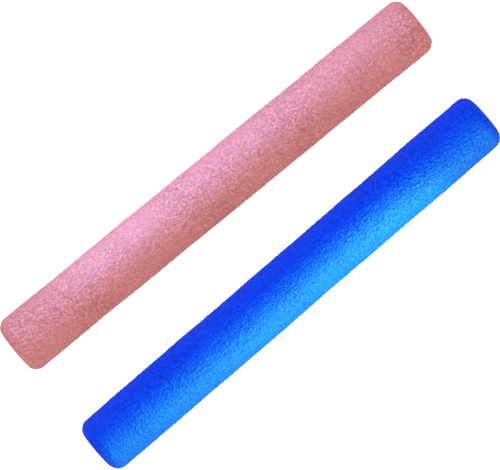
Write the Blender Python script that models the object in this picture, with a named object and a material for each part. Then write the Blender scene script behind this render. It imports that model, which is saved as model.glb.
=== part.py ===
"""Focus training sticks: a pair of foam sticks, each with a rigid core tube inside.

Metres, +Z up. Both sticks lie on the floor (z = 0) side by side, and the pair's
bounding box is centred on the origin. The pink stick lies along +X.
"""
from math import cos, pi, radians, sin

import bmesh
import bpy
from mathutils import Matrix, Vector

# ---- driving dimensions ----
# Diameters are across the flats of the faceted rounds, so a stick rests on a flat.
STICKS = {
    "pink": {"length": 0.6000, "diameter": 0.0710, "colour": "D78F9C"},
    "blue": {"length": 0.5920, "diameter": 0.0700, "colour": "1B6FF0"},
}
BLUE_ALONG = -0.0048        # blue stick's centre from the pink one's, along the pink stick
BLUE_ACROSS = -0.1427       # and across it
BLUE_YAW = radians(1.48)    # how far the blue stick is turned about Z

END_ROUND = 0.0140          # radius worked onto the foam's end edges
GAP = 0.0003                # clearance between pieces that touch

CORE_DIAMETER = 0.0250      # standard PVC tube
CORE_WALL = 0.0020
CORE_LENGTH = 0.5000        # stops short of the foam at both ends, so the tips stay soft

CAP_FLANGE = 0.0020         # thickness of the cap's flange
CAP_DEPTH = 0.0140          # how far the cap's spigot reaches into the tube
CAP_WALL = 0.0014           # thickness of the spigot's wall
CAP_RIB_HEIGHT = 0.0009     # ribs that grip the tube's wall
CAP_RIB_WIDTH = 0.0014
CAP_RIB_PITCH = 0.0040
CAP_RIBS = 3

PLUG_RECESS = 0.0005        # end plug's face below the foam's end face
PLUG_CHAMFER = 0.0006       # broken edge on both ends of the plug

FOAM_SEGMENTS = 48          # flats around the foam, the core tube and the plugs
CAP_SEGMENTS = 24
ROUND_STEPS = 6             # flats along each rounded end edge
SMOOTH_BELOW = radians(35)  # edges flatter than this are shaded smooth

FOAM_ROUGHNESS = 0.55
PVC_COLOUR = "8E9296"
PVC_ROUGHNESS = 0.35
CAP_COLOUR = "1E1F21"
CAP_ROUGHNESS = 0.45

BORE_DIAMETER = CORE_DIAMETER + 2 * GAP
TUBE_BORE_DIAMETER = CORE_DIAMETER - 2 * CORE_WALL


# ---- helpers ----
def clear_scene():
    for obj in list(bpy.data.objects):
        bpy.data.objects.remove(obj, do_unlink=True)


def linear(hex_colour):
    """Turn an sRGB hex colour into Blender's linear RGBA."""
    channels = [int(hex_colour[i:i + 2], 16) / 255 for i in (0, 2, 4)]
    return [c / 12.92 if c <= 0.04045 else ((c + 0.055) / 1.055) ** 2.4 for c in channels] + [1.0]


def make_material(name, hex_colour, roughness, metallic=0.0):
    material = bpy.data.materials.new(name)
    material.use_nodes = True
    shader = material.node_tree.nodes["Principled BSDF"]
    shader.inputs["Base Color"].default_value = linear(hex_colour)
    shader.inputs["Roughness"].default_value = roughness
    shader.inputs["Metallic"].default_value = metallic
    return material


def arc(centre, radius, start, end, steps):
    """Points (x, r) on an arc, both ends included; angles in degrees."""
    angles = [radians(start + (end - start) * i / steps) for i in range(steps + 1)]
    return [(centre[0] + radius * cos(a), centre[1] + radius * sin(a)) for a in angles]


def turned(name, profile, segments, material, parent):
    """Spin a closed (x, r) profile about the stick's axis, +X, with a flat facing down."""
    corner = 1 / cos(pi / segments)
    bm = bmesh.new()
    verts = [bm.verts.new((x, r * corner, 0)) for x, r in profile]
    for a, b in zip(verts, verts[1:] + verts[:1]):
        if a.co.y > 0 or b.co.y > 0:
            bm.edges.new((a, b))
    bmesh.ops.rotate(bm, verts=bm.verts, matrix=Matrix.Rotation(pi / segments, 3, "X"))
    bmesh.ops.spin(
        bm,
        geom=bm.verts[:] + bm.edges[:],
        cent=(0, 0, 0),
        axis=(1, 0, 0),
        angle=2 * pi,
        steps=segments,
        use_merge=True,
    )
    bmesh.ops.remove_doubles(bm, verts=bm.verts, dist=1e-6)
    bmesh.ops.recalc_face_normals(bm, faces=bm.faces)
    mesh = bpy.data.meshes.new(name)
    bm.to_mesh(mesh)
    bm.free()
    mesh.shade_smooth()
    mesh.set_sharp_from_angle(angle=SMOOTH_BELOW)
    mesh.materials.append(material)
    obj = bpy.data.objects.new(name, mesh)
    bpy.context.collection.objects.link(obj)
    obj.parent = parent
    return obj


def mirrored(profile, side):
    """A profile drawn for the right-hand (+X) end, or its mirror image for the left."""
    return profile if side == "right" else [(-x, r) for x, r in reversed(profile)]


# ---- sub-parts ----
def foam_sleeve(stick, size, material, parent):
    """Foam tube with flat ends and generously rounded end edges."""
    half = size["length"] / 2
    outer = size["diameter"] / 2
    bore = BORE_DIAMETER / 2
    left = arc((END_ROUND - half, outer - END_ROUND), END_ROUND, 180, 90, ROUND_STEPS)
    right = arc((half - END_ROUND, outer - END_ROUND), END_ROUND, 90, 0, ROUND_STEPS)
    profile = [(-half, bore)] + left + right + [(half, bore)]
    return turned(f"{stick}_foam_sleeve", profile, FOAM_SEGMENTS, material, parent)


def core_tube(stick, material, parent):
    """Rigid tube bonded into the foam's bore."""
    half = CORE_LENGTH / 2
    outer = CORE_DIAMETER / 2
    inner = TUBE_BORE_DIAMETER / 2
    profile = [(-half, inner), (-half, outer), (half, outer), (half, inner)]
    return turned(f"{stick}_core_tube", profile, FOAM_SEGMENTS, material, parent)


def core_cap(stick, side, material, parent):
    """Insert cap: a flange over the tube's cut edge, and a hollow ribbed spigot inside it."""
    face = CORE_LENGTH / 2 + GAP
    tip = face - CAP_DEPTH
    rib = TUBE_BORE_DIAMETER / 2 - GAP
    wall = rib - CAP_RIB_HEIGHT
    hollow = wall - CAP_WALL
    profile = [
        (face + CAP_FLANGE, 0),
        (face + CAP_FLANGE, CORE_DIAMETER / 2),
        (face, CORE_DIAMETER / 2),
        (face, wall),
    ]
    for i in range(CAP_RIBS):
        start = face - CAP_RIB_WIDTH - i * CAP_RIB_PITCH
        profile += [(start, wall), (start, rib), (start - CAP_RIB_WIDTH, wall)]
    profile += [(tip, wall), (tip, hollow), (face, hollow), (face, 0)]
    return turned(f"{stick}_core_cap_{side}", mirrored(profile, side), CAP_SEGMENTS, material, parent)


def end_plug(stick, side, size, material, parent):
    """Foam plug that fills the bore between the core cap and the foam's end face."""
    inner = CORE_LENGTH / 2 + GAP + CAP_FLANGE + GAP
    outer = size["length"] / 2 - PLUG_RECESS
    radius = BORE_DIAMETER / 2 - GAP
    profile = [
        (inner, 0),
        (inner, radius - PLUG_CHAMFER),
        (inner + PLUG_CHAMFER, radius),
        (outer - PLUG_CHAMFER, radius),
        (outer, radius - PLUG_CHAMFER),
        (outer, 0),
    ]
    return turned(f"{stick}_end_plug_{side}", mirrored(profile, side), FOAM_SEGMENTS, material, parent)


# ---- assembly ----
def make_stick(stick, size, pvc, ldpe):
    """Build one stick along +X about an empty at its centre, and return the empty and its pieces."""
    centre = bpy.data.objects.new(f"{stick}_stick", None)
    bpy.context.collection.objects.link(centre)
    foam = make_material(f"{stick}_epe_foam", size["colour"], FOAM_ROUGHNESS)
    pieces = [
        foam_sleeve(stick, size, foam, centre),
        core_tube(stick, pvc, centre),
    ]
    for side in ("left", "right"):
        pieces.append(core_cap(stick, side, ldpe, centre))
        pieces.append(end_plug(stick, side, size, foam, centre))
    return centre, pieces


def centre_pair(centres, pieces):
    """Slide both sticks together so that the pair's box is centred on the origin."""
    bpy.context.view_layer.update()
    points = [piece.matrix_world @ vertex.co for piece in pieces for vertex in piece.data.vertices]
    middle = [(min(p[i] for p in points) + max(p[i] for p in points)) / 2 for i in (0, 1)]
    for centre in centres:
        centre.location -= Vector((middle[0], middle[1], 0))


def main():
    clear_scene()
    pvc = make_material("pvc_tube", PVC_COLOUR, PVC_ROUGHNESS)
    ldpe = make_material("ldpe_cap", CAP_COLOUR, CAP_ROUGHNESS)
    pink, pink_pieces = make_stick("pink", STICKS["pink"], pvc, ldpe)
    blue, blue_pieces = make_stick("blue", STICKS["blue"], pvc, ldpe)
    pink.location = (0, 0, STICKS["pink"]["diameter"] / 2)
    blue.location = (BLUE_ALONG, BLUE_ACROSS, STICKS["blue"]["diameter"] / 2)
    blue.rotation_euler = (0, 0, BLUE_YAW)
    centre_pair((pink, blue), pink_pieces + blue_pieces)


main()
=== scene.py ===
from math import atan2, cos, pi, radians, sin

import bpy
from mathutils import Matrix, Vector, noise


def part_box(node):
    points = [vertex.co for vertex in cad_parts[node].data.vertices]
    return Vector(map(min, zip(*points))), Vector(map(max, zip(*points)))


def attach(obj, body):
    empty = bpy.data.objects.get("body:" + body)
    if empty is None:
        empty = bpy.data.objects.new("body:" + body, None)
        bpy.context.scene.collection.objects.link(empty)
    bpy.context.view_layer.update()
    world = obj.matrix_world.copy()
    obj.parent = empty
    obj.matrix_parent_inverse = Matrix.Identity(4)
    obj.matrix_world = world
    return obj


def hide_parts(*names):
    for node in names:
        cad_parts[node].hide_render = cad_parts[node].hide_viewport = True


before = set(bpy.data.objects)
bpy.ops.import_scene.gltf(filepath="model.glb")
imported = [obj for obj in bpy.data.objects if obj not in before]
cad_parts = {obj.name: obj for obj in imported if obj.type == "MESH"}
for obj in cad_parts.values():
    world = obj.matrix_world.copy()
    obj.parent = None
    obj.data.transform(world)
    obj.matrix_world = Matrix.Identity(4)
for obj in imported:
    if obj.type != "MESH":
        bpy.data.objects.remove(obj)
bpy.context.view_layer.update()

mm = 0.001

# pale and deep: the dyed foam on its crowns, and darker in its creases and open cells, where the darkening is
# painted shade;
# seed: where its grain starts; scatter: how far red, green and blue light travel in the foam; sheen and
# sheenTint: the skin's gloss;
# roughness: on a crown; outward: which side along Y faces away from the pair.
# The dyes were matched under the coloured lamps in studio. Under white lamps the pink one turns salmon.
sticks = {
    "pink": {
        "pale": "EF9495",
        "deep": "C56869",
        "scatter": (0.9 * mm, 0.5 * mm, 0.4 * mm),
        "sheen": 0.90,
        "sheenTint": "FFFFFF",
        "roughness": 0.36,
        "seed": 3.0,
        "outward": 1,
    },
    "blue": {
        "pale": "0049F8",
        "deep": "0028D4",
        "scatter": (0.3 * mm, 0.5 * mm, 0.9 * mm),
        "sheen": 0.50,
        "sheenTint": "60C4FF",
        "roughness": 0.40,
        "seed": 41.0,
        "outward": -1,
    },
}


# sRGB hex to the linear colour that nodes and lamps take
def hexColour(text):
    channels = [int(text[i:i + 2], 16) / 255 for i in (0, 2, 4)]
    linear = [c / 12.92 if c <= 0.04045 else ((c + 0.055) / 1.055) ** 2.4 for c in channels]
    return (*linear, 1.0)


# inputs are values or sockets, keyed by the input's name or place
def addNode(tree, kind, inputs=None, **settings):
    node = tree.nodes.new(kind)
    for key, value in settings.items():
        setattr(node, key, value)
    for key, value in (inputs or {}).items():
        if isinstance(value, bpy.types.NodeSocket):
            tree.links.new(value, node.inputs[key])
        else:
            node.inputs[key].default_value = value
    return node


def newMaterial(name):
    material = bpy.data.materials.new(name)
    material.use_nodes = True
    material.node_tree.nodes.clear()
    return material, material.node_tree


def smoothStep(low, high, value):
    t = min(max((value - low) / (high - low), 0), 1)
    return t * t * (3 - 2 * t)


def meshObject(name, points, faces, marks):
    mesh = bpy.data.meshes.new(name)
    mesh.from_pydata(points, [], faces)
    mesh.update()
    mesh.shade_smooth()
    for markName, values in marks.items():
        mesh.attributes.new(markName, "FLOAT", "POINT").data.foreach_set("value", values)
    obj = bpy.data.objects.new(name, mesh)
    bpy.context.scene.collection.objects.link(obj)
    return obj


def arcPoints(centre, radius, start, end, count):
    steps = [radians(start + (end - start) * i / count) for i in range(count + 1)]
    return [(centre[0] + radius * cos(a), centre[1] + radius * sin(a)) for a in steps]


# evenly spaced points after start, up to and including end
def runPoints(start, end, step):
    count = max(1, round(((end[0] - start[0]) ** 2 + (end[1] - start[1]) ** 2) ** 0.5 / step))
    return [tuple(a + (b - a) * i / count for a, b in zip(start, end)) for i in range(1, count + 1)]


# where each stick lies, from the frame: the plugs at its two ends give its axis
def stickPlace(stick):
    leftLow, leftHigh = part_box(f"{stick}_end_plug_left")
    rightLow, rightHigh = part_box(f"{stick}_end_plug_right")
    left, right = (leftLow + leftHigh) / 2, (rightLow + rightHigh) / 2
    along = (right - left).normalized()
    centre = (left + right) / 2
    low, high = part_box(f"{stick}_foam_sleeve")
    foamReach = [v.co.dot(along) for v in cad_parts[f"{stick}_foam_sleeve"].data.vertices]
    plugReach = [v.co.dot(along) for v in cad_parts[f"{stick}_end_plug_right"].data.vertices]
    return {
        "centre": centre,
        "yaw": atan2(along.y, along.x),
        "radius": (high.z - low.z) / 2,
        "half": (max(foamReach) - min(foamReach)) / 2,
        "plugRadius": (leftHigh.z - leftLow.z) / 2,
        "plugInner": min(plugReach) - centre.dot(along),
        "plugOuter": max(plugReach) - centre.dot(along),
    }


places = {stick: stickPlace(stick) for stick in sticks}
print("frame read:", {s: (round(p["half"] * 2, 4), round(p["radius"] * 2, 4)) for s, p in places.items()})

foamSleeve = {
    "endRound": 14.0 * mm,       # rounding of the end edges
    "lipRound": 1.2 * mm,        # softened edge where the bore opens on the end face
    "lipSteps": 4,
    "lipClearance": 0.3 * mm,    # between the bore and what is bonded in it
    "meshStep": 1.3 * mm,        # finer than the pebbles, so they are in the mesh
    "cutMeshStep": 0.8 * mm,
    "boreStep": 24 * mm,
    "pebbleSize": 3.9 * mm,      # spacing of the foam's cells under the skin
    "pebbleDepth": 0.60 * mm,    # creases between them
    "pebbleSink": 0.35,          # share of the depth that lies below the plain round
    "creaseReach": 0.42,         # how far a crease spreads into its cells
    "lumpSize": 2.4 * mm,        # cells are uneven, so the crowns are lumpy too
    "lumpDepth": 0.50 * mm,
    "patchSize": 48 * mm,        # the grain comes and goes in patches this big
    "patchMean": 0.8,
    "patchSwing": 0.6,
    "crownMean": 0.6,            # how pale the skin is on average, 0 to 1, and what cells and lumps add: paler on crowns and lumps, darker with painted shade in creases and low spots
    "crownOfCell": 0.8,
    "crownOfLump": 0.7,
    "rippleSize": 24 * mm,       # slight waves from the extrusion die
    "rippleDepth": 0.2 * mm,
    "dentSize": 85 * mm,         # slow waves that handling leaves in soft foam
    "dentDepth": 0.75 * mm,
    "cutCellSize": 2.6 * mm,     # open cells where the end is cut
    "cutCellDepth": 0.35 * mm,
    "cutFacing": (0.90, 0.995),  # how squarely the foam faces along the stick where skin gives way to cut
    "floorGap": 0.1 * mm,        # the flattened underside stays this far off the floor
    "boreMargin": 0.1 * mm,      # no grain this close to the bore
    "fill": 0.95,
}


# 0 in the crease between two cells, 1 on the crown of a cell
def cellHeight(point, size, seed):
    near = noise.voronoi(point / size + Vector((0, 0, seed)))[0]
    return smoothStep(0, foamSleeve["creaseReach"], near[1] - near[0])


# how far the skin stands off the round, and how pale it is there, from 0 to 1: the paleness follows the
# relief, with painted shade in creases and low spots
def skinHeight(point, seed):
    s = foamSleeve
    patch = s["patchMean"] + s["patchSwing"] * noise.noise(point / s["patchSize"] + Vector((seed, 0, 0)))
    crown = cellHeight(point, s["pebbleSize"], seed)
    lump = noise.noise(point / s["lumpSize"] + Vector((seed, seed, 0)))
    ripple = noise.noise(point / s["rippleSize"] + Vector((0, seed, seed)))
    dent = noise.noise(point / s["dentSize"] + Vector((0, seed, 0)))
    rise = patch * (s["pebbleDepth"] * (crown - s["pebbleSink"]) + s["lumpDepth"] * lump)
    rise += s["rippleDepth"] * ripple + s["dentDepth"] * dent
    mean = s["crownMean"]
    paleness = mean + patch * (s["crownOfCell"] * (crown - mean) + s["crownOfLump"] * lump)
    return rise, min(max(paleness, 0), 1)


# the open cells of a cut face are pits, with walls left between them; the walls are pale and the pits hold
# painted shade
def cutHeight(point, size, depth, seed):
    pit = cellHeight(point, size, seed)
    return -pit * depth, 1 - pit


# right half of the outline as (x, r): middle of the skin, round the edge, over the face, into the bore
def sleeveOutline(place):
    s = foamSleeve
    half, radius = place["half"], place["radius"]
    bore = place["plugRadius"] + s["lipClearance"]
    lip, edge, step = s["lipRound"], s["endRound"], s["meshStep"]
    outline = [(0, radius)] + runPoints((0, radius), (half - edge, radius), step)
    outline += arcPoints((half - edge, radius - edge), edge, 90, 0, round(edge * pi / 2 / step))[1:]
    outline += runPoints((half, radius - edge), (half, bore + lip), s["cutMeshStep"])
    outline += arcPoints((half - lip, bore + lip), lip, 0, -90, s["lipSteps"])[1:]
    outline += runPoints((half - lip, bore), (0, bore), s["boreStep"])
    return outline


def makeSleeve(stick):
    s, place, seed = foamSleeve, places[stick], sticks[stick]["seed"]
    rightHalf = sleeveOutline(place)
    outline = rightHalf + [(-x, r) for x, r in rightHalf[-2:0:-1]]
    around = round(2 * pi * place["radius"] / s["meshStep"])
    lowest = s["floorGap"] - place["centre"].z
    skinFrom = place["plugRadius"] + s["lipClearance"] + s["boreMargin"]
    # hollowShade: how pale the skin is, with painted shade in its creases and, on a cut face, down in its
    # open cells
    points, cut, hollowShade = [], [], []
    count = len(outline)
    for i, (x, r) in enumerate(outline):
        before, after = outline[i - 1], outline[(i + 1) % count]
        slope = Vector((after[0] - before[0], after[1] - before[1])).normalized()
        out = (-slope.y, slope.x)        # outward in (x, r)
        face = smoothStep(*s["cutFacing"], abs(out[0])) if r > skinFrom else 0
        for k in range(around):
            turn = 2 * pi * k / around
            point = Vector((x, r * cos(turn), r * sin(turn)))
            crown = s["crownMean"]
            if r > skinFrom:
                rise, crown = skinHeight(point, seed)
                if face > 0:
                    pitRise, wall = cutHeight(point, s["cutCellSize"], s["cutCellDepth"], seed)
                    rise += (pitRise - rise) * face
                    crown += (wall - crown) * face
                point += Vector((out[0], out[1] * cos(turn), out[1] * sin(turn))) * rise
            point.z = max(point.z, lowest)
            points.append(point)
            cut.append(face)
            hollowShade.append(crown)
    faces = []
    for i in range(count):
        j = (i + 1) % count
        for k in range(around):
            n = (k + 1) % around
            faces.append((i * around + k, i * around + n, j * around + n, j * around + k))
    return meshObject(f"{stick}FoamSleeve", points, faces, {"cutFace": cut, "hollowShade": hollowShade})


endPlug = {
    "faceStep": 0.8 * mm,        # between rings of points across the outer face
    "innerStep": 4 * mm,         # and across the inner face, which no view shows
    "sideStep": 9 * mm,
    "segments": 96,
    "sideTone": 0.5,             # how pale the uncut surfaces are, 0 to 1
    "crown": 0.35 * mm,          # the face stands proud of its own rim
    "edgeRound": 1.0 * mm,
    "edgeSteps": 4,
    "seedShift": 7,              # so that a plug's cells aren't the sleeve's
    "cutCellSize": 2.4 * mm,
    "cutCellDepth": 0.35 * mm,
    "fill": 0.9,
}


def makePlug(stick, side):
    s, place = endPlug, places[stick]
    sign = 1 if side == "right" else -1
    seed = sticks[stick]["seed"] + s["seedShift"] * sign
    radius, outer, inner = place["plugRadius"], place["plugOuter"], place["plugInner"]
    edge = s["edgeRound"]
    outline = [(inner, 0.0)] + runPoints((inner, 0), (inner, radius), s["innerStep"])
    outline += runPoints((inner, radius), (outer - edge, radius), s["sideStep"])
    outline += arcPoints((outer - edge, radius - edge), edge, 90, 0, s["edgeSteps"])[1:]
    outline += runPoints((outer, radius - edge), (outer, 0), s["faceStep"])
    points, faces, cut, hollowShade = [Vector((sign * inner, 0, 0))], [], [0.0], [s["sideTone"]]
    for x, r in outline[1:-1]:
        onFace = 1.0 if x > outer - edge / 2 else 0.0
        for k in range(s["segments"]):
            turn = 2 * pi * k / s["segments"]
            point = Vector((sign * x, r * cos(turn), r * sin(turn)))
            # on the cut face the pits get painted shade and the walls stay pale
            pitRise, wall = cutHeight(point, s["cutCellSize"], s["cutCellDepth"], seed)
            point.x += onFace * sign * (s["crown"] * (1 - (r / radius) ** 2) + pitRise)
            points.append(point)
            cut.append(onFace)
            hollowShade.append(wall if onFace else s["sideTone"])
    points.append(Vector((sign * (outer + s["crown"]), 0, 0)))
    cut.append(1.0)
    hollowShade.append(s["sideTone"])
    last, rings, segments = len(points) - 1, len(outline) - 2, s["segments"]
    for k in range(segments):
        n = (k + 1) % segments
        faces.append((0, 1 + k, 1 + n))
        for i in range(rings - 1):
            a, b = 1 + i * segments, 1 + (i + 1) * segments
            faces.append((a + k, b + k, b + n, a + n))
        base = 1 + (rings - 1) * segments
        faces.append((base + k, last, base + n))
    if sign > 0:
        faces = [tuple(reversed(face)) for face in faces]
    name = f"{stick}EndPlug{side.capitalize()}"
    return meshObject(name, points, faces, {"cutFace": cut, "hollowShade": hollowShade})


noiseSpan = (0.3, 0.7)           # nearly all of a noise texture lies between these

foamLook = {
    "creaseRoughness": 0.68,     # the skin is dull where it folds into a crease
    "cutRoughness": 0.85,
    "scatterWeight": 0.12,
    "mottleSize": 30 * mm,       # uneven dye
    "mottleTone": (0.97, 1.03),  # darkest and palest
    "wrinkleSize": 2.3 * mm,     # fine wrinkles in the skin, on top of the pebbles
    "wrinkleDepth": 1.7 * mm,
    # the wrinkles pale on their tops and darken in their hollows: painted light and painted shade over the
    # same bump
    "wrinkleTone": (0.6, 1.4),
    "wallSize": 1.6 * mm,        # small open cells between the large ones of a cut face
    "wallDepth": 0.3 * mm,
    "wallTone": (1.12, 0.88),    # on a wall, and down in a cell, where it is painted shade
    "wallEdge": 0.16,            # how far the wall's paleness reaches, in cells
    "wallShoulder": 0.20,        # and how far its height does
}


# Polyethylene foam, extruded with its own skin: satin and a little translucent. The eye sees pebbles with
# darker creases between them, and on a cut end a dull network of pale cell walls round dark open cells.
# Creases, wrinkle hollows and open cells are also painted darker: painted shade.
def epeFoam(stick):
    s, look = foamLook, sticks[stick]
    material, tree = newMaterial(f"{stick}ExtrudedEpeFoam")
    place = addNode(tree, "ShaderNodeTexCoord").outputs["Object"]
    # painted shade in creases and open cells, read from the mesh
    hollowShade = addNode(tree, "ShaderNodeAttribute", attribute_name="hollowShade").outputs["Fac"]
    cut = addNode(tree, "ShaderNodeAttribute", attribute_name="cutFace").outputs["Fac"]
    mottle = addNode(tree, "ShaderNodeTexNoise", {
        "Vector": place, "Scale": 1 / s["mottleSize"], "Detail": 3.0}).outputs["Fac"]
    wrinkle = addNode(tree, "ShaderNodeTexNoise", {
        "Vector": place, "Scale": 1 / s["wrinkleSize"], "Detail": 2.0}).outputs["Fac"]
    walls = addNode(tree, "ShaderNodeTexVoronoi", {
        "Vector": place, "Scale": 1 / s["wallSize"]}, feature="DISTANCE_TO_EDGE").outputs["Distance"]

    # a pattern's range from low to high, turned into a range of lightness or of anything else
    def shade(source, low, high, dark, pale):
        return addNode(tree, "ShaderNodeMapRange", {
            "Value": source, "From Min": low, "From Max": high,
            "To Min": dark, "To Max": pale}).outputs["Result"]

    def times(a, b):
        return addNode(tree, "ShaderNodeMath", {0: a, 1: b}, operation="MULTIPLY").outputs[0]

    # a on the skin, b on a cut face
    def blend(a, b):
        return addNode(tree, "ShaderNodeMix", {0: cut, 2: a, 3: b}).outputs[0]

    # the dye pales on crowns and wrinkle tops and darkens with painted shade in creases, wrinkle hollows and
    # open cells
    crown = times(hollowShade, shade(wrinkle, *noiseSpan, *s["wrinkleTone"]))
    dyeAndHollowShade = addNode(tree, "ShaderNodeMix", {
        0: crown, 6: hexColour(look["deep"]), 7: hexColour(look["pale"])}, data_type="RGBA").outputs[2]
    uneven = shade(mottle, *noiseSpan, *s["mottleTone"])
    # painted shade down in the small open cells of a cut face
    openCellShade = blend(1.0, shade(walls, 0, s["wallEdge"], *s["wallTone"]))
    tone = addNode(tree, "ShaderNodeHueSaturation", {"Color": dyeAndHollowShade, "Value": times(openCellShade, uneven)})
    height = blend(wrinkle, shade(walls, 0, s["wallShoulder"], 1, 0))
    reach = blend(s["wrinkleDepth"], s["wallDepth"])
    bump = addNode(tree, "ShaderNodeBump", {"Height": times(height, reach), "Strength": 1.0, "Distance": 1.0})
    shader = addNode(tree, "ShaderNodeBsdfPrincipled", {
        "Base Color": tone.outputs["Color"],
        "Roughness": blend(shade(crown, 0, 1, s["creaseRoughness"], look["roughness"]), s["cutRoughness"]),
        "IOR": 1.5,
        "Specular IOR Level": look["sheen"],
        "Specular Tint": hexColour(look["sheenTint"]),
        "Subsurface Weight": s["scatterWeight"],
        "Subsurface Radius": tuple(r / max(look["scatter"]) for r in look["scatter"]),
        "Subsurface Scale": max(look["scatter"]),
        "Normal": bump.outputs["Normal"],
    })
    addNode(tree, "ShaderNodeOutputMaterial", {"Surface": shader.outputs["BSDF"]})
    return material


def fitPiece(piece, stick, node, foam):
    place = places[stick]
    piece.matrix_world = Matrix.Translation(place["centre"]) @ Matrix.Rotation(place["yaw"], 4, "Z")
    piece.data.materials.append(foam)
    piece.visible_diffuse = False        # strong dyes, and the sticks would tint each other's rims
    piece.visible_glossy = False
    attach(piece, f"{stick}_stick")
    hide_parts(f"{stick}_{node}")
    lit[stick].objects.link(piece)


lit = {stick: bpy.data.collections.new(f"{stick}Lit") for stick in sticks}
for stick in sticks:
    foam = epeFoam(stick)
    sleeve = makeSleeve(stick)
    fitPiece(sleeve, stick, "foam_sleeve", foam)
    for side in ("left", "right"):
        plug = makePlug(stick, side)
        fitPiece(plug, stick, f"end_plug_{side}", foam)
    print(stick, "stick made:", len(sleeve.data.polygons), "faces in the sleeve,",
          len(plug.data.polygons), "in each plug")

coreTube = {
    "colour": "8E9296",
    "roughness": 0.36,
    "roughnessSwing": 0.05,
    "tone": (0.94, 1.05),        # darkest and palest
    "lineSize": 1.4 * mm,        # spacing of the lines that the die draws along the tube
    "lineDepth": 0.03 * mm,
    "lineStretch": (0.01, 1, 1),    # the pattern is drawn out 100 times along the tube
}


# Unplasticised PVC, extruded: a grey with faint straight lines along the tube and a low, even gloss.
def extrudedPvc():
    s = coreTube
    material, tree = newMaterial("extrudedPvc")
    place = addNode(tree, "ShaderNodeTexCoord").outputs["Object"]
    drawn = addNode(tree, "ShaderNodeMapping", {"Vector": place, "Scale": s["lineStretch"]}).outputs["Vector"]
    lines = addNode(tree, "ShaderNodeTexNoise", {
        "Vector": drawn, "Scale": 1 / s["lineSize"], "Detail": 2.0}).outputs["Fac"]
    value = addNode(tree, "ShaderNodeMapRange", {
        "Value": lines, "From Min": noiseSpan[0], "From Max": noiseSpan[1],
        "To Min": s["tone"][0], "To Max": s["tone"][1]}).outputs["Result"]
    tone = addNode(tree, "ShaderNodeHueSaturation", {"Color": hexColour(s["colour"]), "Value": value})
    gloss = addNode(tree, "ShaderNodeMapRange", {
        "Value": lines, "To Min": s["roughness"] - s["roughnessSwing"],
        "To Max": s["roughness"] + s["roughnessSwing"]}).outputs["Result"]
    bump = addNode(tree, "ShaderNodeBump", {"Height": lines, "Strength": 1.0, "Distance": s["lineDepth"]})
    shader = addNode(tree, "ShaderNodeBsdfPrincipled", {
        "Base Color": tone.outputs["Color"], "Roughness": gloss, "IOR": 1.54,
        "Normal": bump.outputs["Normal"]})
    addNode(tree, "ShaderNodeOutputMaterial", {"Surface": shader.outputs["BSDF"]})
    return material


coreCap = {
    "colour": "1E1F21",
    "roughness": 0.45,
    "roughnessSwing": 0.06,
    "tone": (0.9, 1.12),
    "textureSize": 0.6 * mm,     # coarser than a real mould leaves, so that it shows at all
    "textureDepth": 0.04 * mm,
}


# Low-density polyethylene, injection moulded: a soft black with a slightly grainy, waxy gloss.
def mouldedLdpe():
    s = coreCap
    material, tree = newMaterial("mouldedLdpe")
    place = addNode(tree, "ShaderNodeTexCoord").outputs["Object"]
    grit = addNode(tree, "ShaderNodeTexNoise", {
        "Vector": place, "Scale": 1 / s["textureSize"], "Detail": 2.0}).outputs["Fac"]
    value = addNode(tree, "ShaderNodeMapRange", {
        "Value": grit, "From Min": noiseSpan[0], "From Max": noiseSpan[1],
        "To Min": s["tone"][0], "To Max": s["tone"][1]}).outputs["Result"]
    tone = addNode(tree, "ShaderNodeHueSaturation", {"Color": hexColour(s["colour"]), "Value": value})
    gloss = addNode(tree, "ShaderNodeMapRange", {
        "Value": grit, "To Min": s["roughness"] - s["roughnessSwing"],
        "To Max": s["roughness"] + s["roughnessSwing"]}).outputs["Result"]
    bump = addNode(tree, "ShaderNodeBump", {"Height": grit, "Strength": 1.0, "Distance": s["textureDepth"]})
    shader = addNode(tree, "ShaderNodeBsdfPrincipled", {
        "Base Color": tone.outputs["Color"], "Roughness": gloss, "IOR": 1.51,
        "Normal": bump.outputs["Normal"]})
    addNode(tree, "ShaderNodeOutputMaterial", {"Surface": shader.outputs["BSDF"]})
    return material


innerMaterials = {"core_tube": extrudedPvc(), "core_cap": mouldedLdpe()}
for name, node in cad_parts.items():
    for part, material in innerMaterials.items():
        if part in name:
            for materialSlot in node.material_slots:
                materialSlot.material = material
print("core tubes and caps finished")

# lengths are in metres, angles in radians and powers in watts
studio = {
    "sky": 1.0,
    "floorSize": 24,
    "floorLevel": -0.0002,       # just clear of the foam's flattened underside
    "floorGlow": 0.85,
    "floorTint": "A0A0A0",
    "boxSize": (0.30, 0.30),     # soft box beside each stick
    "boxAway": 0.57,
    "spotBack": -0.386,          # small lamp beyond the stick's bright end, along the stick from its middle
    "spotAim": -0.016,           # and where along the stick it points
    "spotAway": 0.250,
    "spotCone": 0.906,
    "spotBlend": 0.88,
    "spotSize": 0.02,
    "fillSize": (0.9, 0.2),      # soft box on the inner side, for the blue stick only
    "fillAway": 0.5,
    "fillRise": radians(40),
    "pink": {"rise": radians(33), "power": 3.65, "tint": "89B8FF", "spotPower": 4.4, "spotTint": "89C8FF"},
    "blue": {"rise": radians(26), "power": 12.8, "tint": "BCFF58", "spotPower": 25.8, "spotTint": "BCFF58",
             "fillPower": 0.8, "fillTint": "0018FF"},
}


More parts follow.
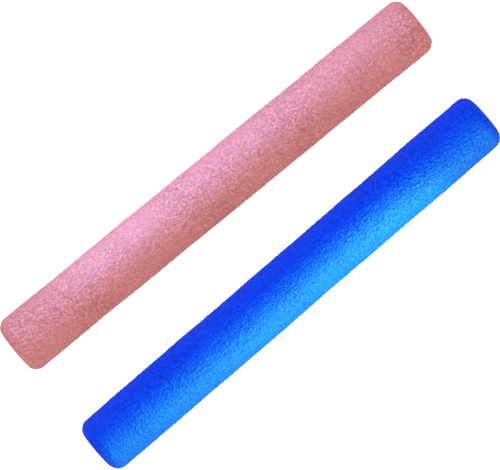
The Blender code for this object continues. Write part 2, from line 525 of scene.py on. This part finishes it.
def paleFloor():
    bpy.ops.mesh.primitive_plane_add(size=studio["floorSize"], location=(0, 0, studio["floorLevel"]))
    floor = bpy.context.object
    floor.name = "paleFloor"
    material, tree = newMaterial("mattPaperFloor")
    shader = addNode(tree, "ShaderNodeBsdfPrincipled", {
        "Base Color": hexColour(studio["floorTint"]),
        "Roughness": 0.9,
        "Emission Color": (1, 1, 1, 1),
        "Emission Strength": studio["floorGlow"],
    })
    addNode(tree, "ShaderNodeOutputMaterial", {"Surface": shader.outputs["BSDF"]})
    floor.data.materials.append(material)
    floor.visible_glossy = False


# a lamp that lights one stick only, so it throws no colour or shadow on the floor
def addLamp(name, stick, kind, power, tint, location, target):
    lamp = bpy.data.lights.new(name, kind)
    lamp.energy = power
    lamp.color = hexColour(tint)[:3]
    holder = bpy.data.objects.new(name, lamp)
    bpy.context.scene.collection.objects.link(holder)
    holder.location = location
    holder.rotation_euler = (target - location).to_track_quat("-Z", "Y").to_euler()
    holder.visible_camera = False
    holder.light_linking.receiver_collection = lit[stick]
    return lamp


def lightStick(stick):
    s, place, side = studio[stick], places[stick], sticks[stick]["outward"]
    toLamp = Vector((0, side * cos(s["rise"]), sin(s["rise"])))
    lamp = addLamp(f"{stick}SoftBox", stick, "AREA", s["power"], s["tint"],
                   place["centre"] + toLamp * studio["boxAway"], place["centre"])
    lamp.shape = "RECTANGLE"
    lamp.size, lamp.size_y = studio["boxSize"]
    if "fillPower" in s:
        toFill = Vector((0, -side * cos(studio["fillRise"]), sin(studio["fillRise"])))
        lamp = addLamp(f"{stick}Fill", stick, "AREA", s["fillPower"], s["fillTint"],
                       place["centre"] + toFill * studio["fillAway"], place["centre"])
        lamp.shape = "RECTANGLE"
        lamp.size, lamp.size_y = studio["fillSize"]
    # the two sticks are bright at opposite ends
    surface = place["centre"] + toLamp * place["radius"]
    lamp = addLamp(f"{stick}Spot", stick, "SPOT", s["spotPower"], s["spotTint"],
                   surface + Vector((side * studio["spotBack"], 0, 0)) + toLamp * studio["spotAway"],
                   surface + Vector((side * studio["spotAim"], 0, 0)))
    lamp.spot_size = studio["spotCone"]
    lamp.spot_blend = studio["spotBlend"]
    lamp.shadow_soft_size = studio["spotSize"]


# an even white room, which the foam's gloss doesn't see, so the rims stay deep
def paleSky():
    world = bpy.data.worlds.new("paleStudio")
    world.use_nodes = True
    background = world.node_tree.nodes["Background"]
    background.inputs["Color"].default_value = (1, 1, 1, 1)
    background.inputs["Strength"].default_value = studio["sky"]
    world.cycles_visibility.glossy = False
    bpy.context.scene.world = world


paleFloor()
paleSky()
for stick in sticks:
    lightStick(stick)
print("floor and lights placed")

camera = {
    "lens": 250,                 # mm, long enough that the sticks don't taper
    "focusAbove": 18 * mm,       # the scale holds this far above the pink stick's axis
    "view": 575.15 * mm,         # width of what the picture takes in
    "roll": radians(39.31),      # how far the pink stick climbs to the right
    "fromPink": (-6.09 * mm, -69.34 * mm),    # the camera's X and Y from the pink stick's middle
}
lens = bpy.data.cameras.new("camera")
lens.lens = camera["lens"]
eye = bpy.data.objects.new("camera", lens)
bpy.context.scene.collection.objects.link(eye)
pink = places["pink"]["centre"]
away = camera["focusAbove"] + camera["view"] * lens.lens / lens.sensor_width
eye.location = pink + Vector((*camera["fromPink"], away))
eye.rotation_euler = (0, 0, -camera["roll"])
bpy.context.scene.camera = eye
bpy.context.scene.view_settings.view_transform = "Standard"
print("camera placed")
